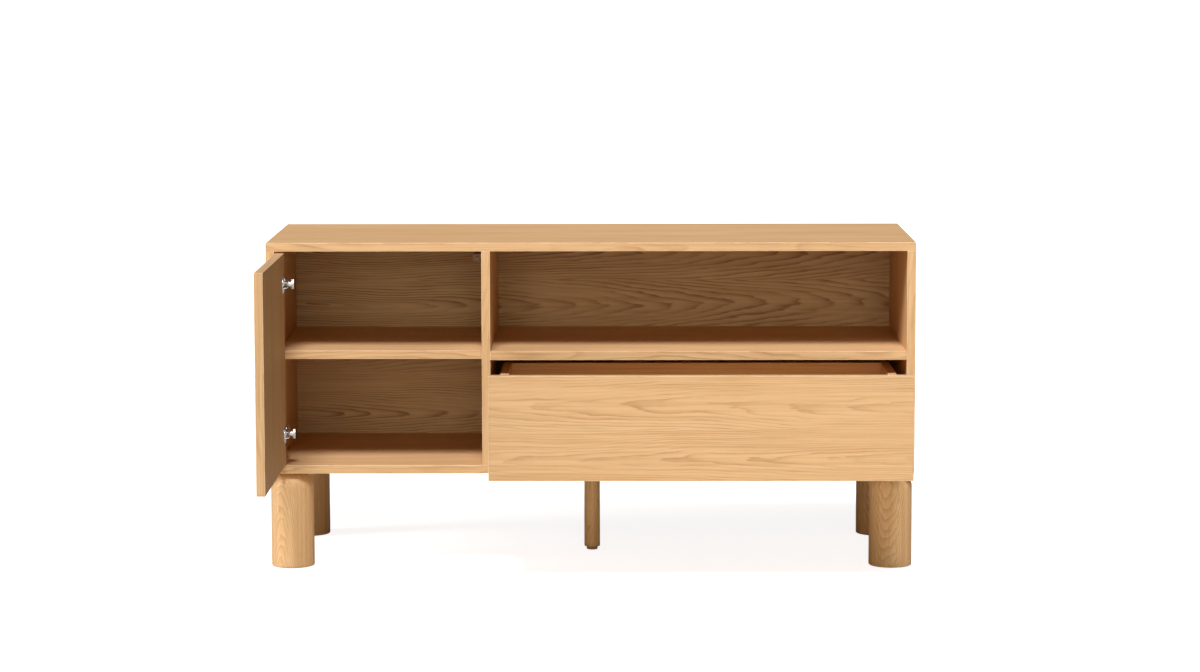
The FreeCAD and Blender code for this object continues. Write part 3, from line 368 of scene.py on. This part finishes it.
def settle(obj, angle=35):
    """Leaves a finished piece at the origin, unturned, with smooth shading and outward faces."""
    select_only(obj)
    bpy.ops.object.transform_apply(location=True, rotation=True, scale=True)
    bpy.ops.object.mode_set(mode="EDIT")
    bpy.ops.mesh.select_all(action="SELECT")
    bpy.ops.mesh.remove_doubles(threshold=WELD)
    bpy.ops.mesh.normals_make_consistent(inside=False)
    bpy.ops.object.mode_set(mode="OBJECT")
    bpy.ops.object.shade_smooth_by_angle(angle=math.radians(angle))


def screw_head(radius, height, tail, tail_radius):
    """A pan head on a short plain shank, standing on Z = 0 with a cross recess in its crown."""
    crown, rim_height = 0.18, 0.45          # flat rim's inset and height, as shares
    slot_long, slot_wide = 1.15, 0.24       # the cross, as shares of the radius
    bpy.ops.object.select_all(action="DESELECT")
    bpy.ops.mesh.primitive_cylinder_add(vertices=24, radius=radius, depth=height,
                                        location=(0, 0, height / 2))
    head = bpy.context.object
    bpy.ops.object.transform_apply(location=True)
    pick_faces(head, lambda normal: normal.z > 0.9)
    bpy.ops.mesh.inset(thickness=radius * crown)
    pick_faces(head, lambda normal: normal.z < -0.9)
    bpy.ops.mesh.inset(thickness=radius - tail_radius)
    bpy.ops.mesh.extrude_region_move(TRANSFORM_OT_translate={"value": (0, 0, -tail)})
    bpy.ops.object.mode_set(mode="OBJECT")
    for vertex in head.data.vertices:
        if abs(vertex.co.z - height) < 1e-6 and vertex.co.xy.length > radius * 0.95:
            vertex.co.z = height * rim_height
    bpy.ops.mesh.primitive_cube_add(size=1, location=(0, 0, height))
    cutter = bpy.context.object
    cutter.scale = (radius * slot_long, radius * slot_wide, height * 1.1)
    bpy.ops.object.transform_apply(scale=True)
    bpy.ops.object.mode_set(mode="EDIT")
    bpy.ops.mesh.select_all(action="SELECT")
    bpy.ops.mesh.duplicate()
    bpy.ops.transform.rotate(value=math.pi / 2, orient_axis="Z", center_override=(0, 0, height))
    bpy.ops.object.mode_set(mode="OBJECT")
    apply_modifier(head, "BOOLEAN", operation="DIFFERENCE", object=cutter, solver="EXACT",
                   use_self=True)
    bpy.data.objects.remove(cutter)
    return head


def place_heads(name, spots, head, direction, body, cad_nodes, material):
    """Copies one head to every spot, turned so that its crown looks along the direction."""
    turn = Vector((0, 0, 1)).rotation_difference(Vector(direction)).to_matrix().to_4x4()
    copies = []
    for index, spot in enumerate(spots):
        copy = head.copy()
        copy.data = head.data.copy()
        bpy.context.collection.objects.link(copy)
        twist = Matrix.Rotation(0.7 * index + 0.3, 4, "Z")
        copy.matrix_world = Matrix.Translation(spot) @ turn @ twist
        copies.append(copy)
    bpy.ops.object.select_all(action="DESELECT")
    for copy in copies:
        copy.select_set(True)
    bpy.context.view_layer.objects.active = copies[0]
    bpy.ops.object.join()
    joined = bpy.context.object
    joined.name = name
    joined.data.name = name
    joined.data.materials.clear()
    joined.data.materials.append(material)
    settle(joined)
    bpy.data.objects.remove(head)
    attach(joined, body)
    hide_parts(*cad_nodes)


def loose_parts(name):
    """The middle of each separate solid in a CAD node, with its lowest and highest corner."""
    mesh = nodes[name].data
    parent = list(range(len(mesh.vertices)))

    def root(i):
        while parent[i] != i:
            parent[i] = parent[parent[i]]
            i = parent[i]
        return i

    places = {}
    for vertex in mesh.vertices:
        key = tuple(round(c, 6) for c in vertex.co)
        first = places.setdefault(key, vertex.index)
        parent[root(vertex.index)] = root(first)
    for edge in mesh.edges:
        a, b = edge.vertices
        parent[root(a)] = root(b)
    groups = {}
    for vertex in mesh.vertices:
        groups.setdefault(root(vertex.index), []).append(vertex.co)
    boxes = []
    for group in groups.values():
        low = Vector(min(c[i] for c in group) for i in range(3))
        high = Vector(max(c[i] for c in group) for i in range(3))
        boxes.append((low, high))
    return sorted(boxes, key=lambda b: tuple(round(c, 5) for c in b[0]))


back_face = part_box("back_panel")[1].y
spots = [Vector(((low.x + high.x) / 2, back_face, (low.z + high.z) / 2))
         for low, high in loose_parts("back_panel_screws")]
head_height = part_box("back_panel_screws")[1].y - back_face
THIN_SHANK = 0.0014     # radius of the plain shank under the head
back_head = screw_head(0.003, head_height, 0.0002, THIN_SHANK)
place_heads("back_screw_heads", spots, back_head, (0, 1, 0), "carcass", ["back_panel_screws"],
            zinc)


# ---- hidden fasteners of the carcass ------------------------------------------------------------
# Fluted beech dowels glued in the boards, and nickel shelf pins pushed into the side and divider.

beech, tree, shader = new_material("beech_dowel")
grain = placed(tree, object_point(tree), scale=(700, 700, 120))
fibre = noise(tree, grain, 1.0, 3.0, 0.6)
shade = tint(tree, fade(tree, fibre, 0.3, 0.7), (0.80, 0.61, 0.42), (0.68, 0.47, 0.29))
tree.links.new(shade, shader.inputs["Base Color"])
feed(tree, shader.inputs["Roughness"], times_plus(tree, fibre, 0.2, 0.5))
raise_surface(tree, shader, fibre, 0.00008)
for name in ("top_dowels", "bottom_dowels", "divider_dowels", "shelf_dowels"):
    finish_node(name, beech)
finish_node("shelf_pins", nickel)


# ---- legs --------------------------------------------------------------------------------------
# Four turned solid oak legs 80 mm thick with a deep rounded shoulder, each on a hanger bolt that
# runs into a steel insert in the bottom board, and standing on a plastic glide.

OAK_RAY = (0.86, 0.66, 0.42)
OAK_SCUFFED = (0.42, 0.27, 0.15)


def turned_oak(name, node, seed, pith, tilt, painted_light_scale=1.0):
    """Solid oak seen on a turned surface: rings round a far pith, rays, pores, a rubbed foot, and a
    painted light scale over the whole leg.
    """
    ring = 0.0032                               # distance between growth rings
    sway_width, stir_width = 0.011, 0.006       # how far the rings wander
    sideways = 0.25                             # the pith's lean to the side, as a share of tilt
    scuff_height = 0.010                        # how far up the foot is scuffed
    material, tree, shader = new_material(name)
    low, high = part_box(node)
    point = object_point(tree)
    middle = (low + high) / 2
    local = placed(tree, point, shift=(-middle.x, -middle.y, -low.z + seed * 0.9))

    # rings round a pith that leans away with the height
    x, y, z = split(tree, local)
    sway = less(tree, cloud_of(tree, local, (22, 22, 5)), 0.5)
    x = plus(tree, plus(tree, x, pith[0]), times(tree, z, tilt * sideways))
    x = times_plus(tree, sway, sway_width, x)
    stir = less(tree, cloud_of(tree, local, (60, 60, 40)), 0.5)
    y = plus(tree, plus(tree, y, pith[1]), times(tree, z, tilt))
    y = times_plus(tree, stir, stir_width, y)
    radius = maths(tree, "SQRT", plus(tree, times(tree, x, x), times(tree, y, y)))
    phase = maths(tree, "FRACT", maths(tree, "DIVIDE", radius, ring))
    late = times(tree, maths(tree, "POWER", phase, 2.4), fade(tree, phase, 1.0, 0.88))

    # streaks, open pores and pale ray flecks
    streak = cloud_of(tree, local, (170, 170, 4), 4.0, 0.6)
    pores = fade(tree, cloud_of(tree, local, (1300, 1300, 60), 2.0), 0.56, 0.70)
    pores = times(tree, pores, times_plus(tree, late, 0.9, 0.25))
    flecks = fade(tree, cloud_of(tree, local, (260, 90, 26), 1.0), 0.66, 0.74)
    colour = tint(tree, fade(tree, streak, 0.30, 0.72), OAK_PALE, OAK_WARM)
    colour = tint(tree, times(tree, late, 0.56), colour, OAK_RING)
    colour = tint(tree, times(tree, pores, 0.5), colour, OAK_PORE)
    colour = tint(tree, times(tree, flecks, 0.22), colour, OAK_RAY)

    # the foot is scuffed where it meets the floor
    foot = less(tree, split(tree, point)[2], low.z)
    marks = fade(tree, cloud_of(tree, point, (140, 140, 140)), 0.42, 0.62)
    scuff = times(tree, fade(tree, foot, scuff_height, 0.0), marks)
    colour = tint(tree, times(tree, scuff, 0.35), colour, OAK_SCUFFED)
    # painted light: the whole leg's colour is lightened by this scale, most for the legs that stand
    # in shade
    colour = tint(tree, 1.0, colour, (painted_light_scale, painted_light_scale, painted_light_scale), "MULTIPLY")
    tree.links.new(colour, shader.inputs["Base Color"])

    gloss = times_plus(tree, streak, 0.14, 0.42)
    feed(tree, shader.inputs["Roughness"], times_plus(tree, scuff, 0.2, gloss))
    height = times_plus(tree, late, -0.3, times(tree, pores, -1.0))
    raise_surface(tree, shader, height, 0.00014)
    return material


def plastic(name, colour, rough):
    """Moulded plastic with a fine spark texture and slightly polished high spots."""
    spark_size = 0.0006
    material, tree, shader = new_material(name)
    point = object_point(tree)
    spark = noise(tree, point, 1 / spark_size, 2.0)
    cloud = noise(tree, point, 60.0, 3.0)
    dark = tuple(c * 0.82 for c in colour)
    shade = tint(tree, fade(tree, cloud, 0.3, 0.7), colour, dark)
    tree.links.new(shade, shader.inputs["Base Color"])
    feed(tree, shader.inputs["Roughness"], times_plus(tree, cloud, 0.2, rough))
    raise_surface(tree, shader, spark, 0.00005)
    return material


dark_plastic = plastic("dark_plastic", (0.055, 0.048, 0.042), 0.42)
# the last column is a painted light scale that lightens the legs standing in shade
legs = (("leg_front_left", 1, (0.008, -0.055), 0.13, 1.16),
        ("leg_front_right", 2, (-0.022, -0.050), -0.15, 1.31),
        ("leg_rear_left", 3, (-0.012, -0.060), 0.12, 1.00),
        ("leg_rear_right", 4, (0.010, -0.052), -0.14, 1.31))
for node, seed, pith, tilt, painted_light_scale in legs:
    finish_node(node, turned_oak(f"oak_{node}", node, seed, pith, tilt, painted_light_scale))
for name in ("leg_bolts", "leg_inserts"):
    finish_node(name, zinc)
finish_node("leg_glides", dark_plastic)


# ---- middle leg and its levelling foot ----------------------------------------------------------
# A slim turned oak leg under the middle of the bottom board; a disc on a screw stem levels it.

# the last number, 1.31, lightens the middle leg as painted light
finish_node("support_leg",
            turned_oak("oak_support_leg", "support_leg", 5, (0.05, 0.04), 0.02, 1.31))
for name in ("support_bolt", "support_insert", "support_socket"):
    finish_node(name, zinc)
finish_node("levelling_foot", plastic("taupe_plastic", (0.50, 0.36, 0.22), 0.5))


# ---- door --------------------------------------------------------------------------------------
# An inset veneered door without a handle, its grain upright, on two concealed cup hinges.

# the scale of 0.86 darkens the door as painted shade
finish_node("door_panel", oak("oak_door_panel", "door_panel", UPRIGHT, END_ACROSS, 9, painted_light_scale=0.86))


def rounded_copy(node, name, width, material, body, segments=2):
    """A pressed or moulded version of a CAD node: same shape, its sharp corners rolled over."""
    sharp = math.radians(30)        # corners that turn by more than this are rolled
    flat = math.radians(0.5)        # faces that turn by less than this become one
    bpy.ops.object.select_all(action="DESELECT")
    copy = bpy.data.objects.new(name, nodes[node].data.copy())
    bpy.context.collection.objects.link(copy)
    select_only(copy)
    bpy.ops.object.mode_set(mode="EDIT")
    bpy.ops.mesh.select_all(action="SELECT")
    bpy.ops.mesh.remove_doubles(threshold=WELD)
    bpy.ops.mesh.dissolve_limited(angle_limit=flat)
    bpy.ops.object.mode_set(mode="OBJECT")
    apply_modifier(copy, "BEVEL", width=width, segments=segments, limit_method="ANGLE",
                   angle_limit=sharp, harden_normals=False)
    copy.data.materials.clear()
    copy.data.materials.append(material)
    settle(copy, 40)
    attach(copy, body)
    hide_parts(node)


hinge_parts = (("cup", 0.0003, "door", 2), ("arm", 0.0009, "carcass", 3),
               ("plate", 0.0005, "carcass", 2))
for level in ("upper", "lower"):
    for part, roll, body, segments in hinge_parts:
        rounded_copy(f"{level}_hinge_{part}", f"{level}_hinge_{part}_pressed", roll, nickel, body,
                     segments)
finish_node("door_strike", nickel)

PAN_HEIGHT = 0.0016     # height of a pan head
PAN_TAIL = 0.0003       # plain shank left under it
HINGE_SHANK = 0.0018    # radius of that shank
for node, radius in (("hinge_plate_screws", 0.00375), ("hinge_arm_screws", 0.00325)):
    spots = [Vector((high.x - PAN_HEIGHT, (low.y + high.y) / 2, (low.z + high.z) / 2))
             for low, high in loose_parts(node)]
    hinge_head = screw_head(radius, PAN_HEIGHT, PAN_TAIL, HINGE_SHANK)
    place_heads(f"{node}_heads", spots, hinge_head, (1, 0, 0), "carcass", [node], nickel)


# ---- door latch --------------------------------------------------------------------------------
# A small push latch screwed high on the divider; its sprung plunger meets a strike disc.

brown_plastic = plastic("brown_plastic", (0.30, 0.180, 0.095), 0.46)
rounded_copy("door_latch_housing", "door_latch_case", 0.0010, brown_plastic, "carcass")
rounded_copy("door_latch_plunger", "door_latch_pin", 0.0006, brown_plastic, "door_plunger")
LATCH_SCREW = 0.00275       # radius of a latch screw's head
latch_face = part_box("door_latch_housing")[0].x
low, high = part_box("door_latch_screw")
spot = Vector((latch_face, (low.y + high.y) / 2, (low.z + high.z) / 2))
door_latch_head = screw_head(LATCH_SCREW, latch_face - low.x, PAN_TAIL, THIN_SHANK)
place_heads("door_latch_screw_head", [spot], door_latch_head, (-1, 0, 0), "carcass",
            ["door_latch_screw"], zinc)


# ---- drawer ------------------------------------------------------------------------------------
# An inset front with lively figure on a veneered box; a thin veneered bottom slides in grooves.

# the scale of 0.95 darkens the drawer front as painted shade
finish_node("drawer_front", oak("oak_drawer_front", "drawer_front", FACING, UPRIGHT, 10,
                                slope=-0.024, heart=0.020, side=0.0, figure=1.05, painted_light_scale=0.95))
RUNNING_BACK = (0, math.pi / 2, -math.pi / 2)       # grain from front to back, face to the side
for name, seed in (("drawer_left_side", 11), ("drawer_right_side", 12)):
    finish_node(name, oak(f"oak_{name}", name, RUNNING_BACK, UPRIGHT, seed))
finish_node("drawer_back", oak("oak_drawer_back", "drawer_back", FACING, UPRIGHT, 13, figure=0.7))
finish_node("drawer_bottom", oak("oak_drawer_bottom", "drawer_bottom", LYING, END_ACROSS, 14,
                                 slope=0.03, heart=0.03, side=0.0, figure=0.8))
for name in ("drawer_front_dowels", "drawer_back_dowels"):
    finish_node(name, beech)


# ---- drawer slides -----------------------------------------------------------------------------
# Zinc plated ball bearing slides, three nested channels a side, screwed through packing strips.

grey_plastic = plastic("grey_plastic", (0.52, 0.52, 0.50), 0.48)
for side in ("left", "right"):
    finish_node(f"{side}_slide_packer", grey_plastic)
    channels = (("outer", "carcass"), ("middle", f"{side}_middle_slide"), ("inner", "drawer"))
    for part, body in channels:
        rounded_copy(f"{side}_slide_{part}", f"{side}_slide_{part}_rolled", 0.0004, zinc, body)
for name in ("slide_outer_screws", "slide_inner_screws"):
    finish_node(name, zinc)


# ---- drawer latch ------------------------------------------------------------------------------
# A push latch standing on the bottom board behind the drawer, held by two screws.

rounded_copy("drawer_latch_housing", "drawer_latch_case", 0.0008, grey_plastic, "carcass")
rounded_copy("drawer_latch_plunger", "drawer_latch_pin", 0.0006, grey_plastic, "drawer_plunger")
spots = [Vector(((low.x + high.x) / 2, (low.y + high.y) / 2, high.z - PAN_HEIGHT))
         for low, high in loose_parts("drawer_latch_screws")]
drawer_latch_head = screw_head(LATCH_SCREW, PAN_HEIGHT, PAN_TAIL, THIN_SHANK)
place_heads("drawer_latch_screw_heads", spots, drawer_latch_head, (0, 0, 1), "carcass",
            ["drawer_latch_screws"], zinc)


# ---- floor, light and camera --------------------------------------------------------------------
# A plain white studio. A broad key shines from the front and above, a level fill from the front
# and a strip from the left; the floor glows for the camera alone, so it stays white.

FLOOR_WIDTH = 60
FLOOR_GLOW = 0.88
bpy.ops.object.select_all(action="DESELECT")
bpy.ops.mesh.primitive_plane_add(size=FLOOR_WIDTH, location=(0, 0, cad_low.z))
floor = bpy.context.object
floor.name = "studio_floor"
white, tree, shader = new_material("studio_white", specular=0.0)
shader.inputs["Base Color"].default_value = (0.58, 0.53, 0.45, 1)
shader.inputs["Roughness"].default_value = 1.0
shader.inputs["Emission Color"].default_value = (1, 1, 1, 1)
camera_ray = tree.nodes.new("ShaderNodeLightPath").outputs["Is Camera Ray"]
glow = times(tree, camera_ray, FLOOR_GLOW)
tree.links.new(glow, shader.inputs["Emission Strength"])
floor.data.materials.append(white)
floor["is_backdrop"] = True

world = bpy.data.worlds.new("studio_air")
bpy.context.scene.world = world
world.use_nodes = True
tree = world.node_tree
tree.nodes.clear()
output = tree.nodes.new("ShaderNodeOutputWorld")
seen = tree.nodes.new("ShaderNodeBackground")
seen.inputs["Color"].default_value = (1, 1, 1, 1)
seen.inputs["Strength"].default_value = 1.15
fill = tree.nodes.new("ShaderNodeBackground")
fill.inputs["Color"].default_value = (1.0, 0.80, 0.50, 1)
fill.inputs["Strength"].default_value = 0.030
choice = tree.nodes.new("ShaderNodeMixShader")
camera_ray = tree.nodes.new("ShaderNodeLightPath").outputs["Is Camera Ray"]
tree.links.new(camera_ray, choice.inputs["Fac"])
tree.links.new(fill.outputs[0], choice.inputs[1])
tree.links.new(seen.outputs[0], choice.inputs[2])
tree.links.new(choice.outputs[0], output.inputs["Surface"])


def sun(name, direction, strength, angle, colour):
    """A distant light that shines along the direction; the angle is its width in degrees."""
    lamp = bpy.data.lights.new(name, "SUN")
    lamp.energy = strength
    lamp.angle = math.radians(angle)
    lamp.color = colour
    obj = bpy.data.objects.new(name, lamp)
    bpy.context.collection.objects.link(obj)
    obj.rotation_euler = Vector(direction).to_track_quat("-Z", "Y").to_euler()


sun("key_light", (0.06, 1.0, -1.42), 3.40, 18, (1.0, 1.03, 1.24))
sun("front_fill", (0.02, 1.0, -0.06), 0.76, 25, (1.0, 1.01, 0.94))
sun("left_strip", (1.0, 0.30, -0.45), 1.5, 20, (1.0, 1.03, 1.20))

camera_data = bpy.data.cameras.new("studio_camera")
camera_data.lens = 102.77
camera_data.sensor_width = 36
camera_data.clip_start = 0.1
camera_data.clip_end = 200
camera = bpy.data.objects.new("studio_camera", camera_data)
bpy.context.collection.objects.link(camera)
EYE = (0.05405, -6.50556, 1.16041)
TURN, DROP, ROLL = 0.0059, 0.1145, -0.0016      # in radians, from looking level along +Y
heading = Matrix.Rotation(TURN, 4, "Z")
pitch = Matrix.Rotation(math.pi / 2 - DROP, 4, "X")
level = Matrix.Rotation(ROLL, 4, "Z")
camera.matrix_world = Matrix.Translation(EYE) @ heading @ pitch @ level
bpy.context.scene.camera = camera
bpy.context.scene.view_settings.view_transform = "Standard"

low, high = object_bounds()
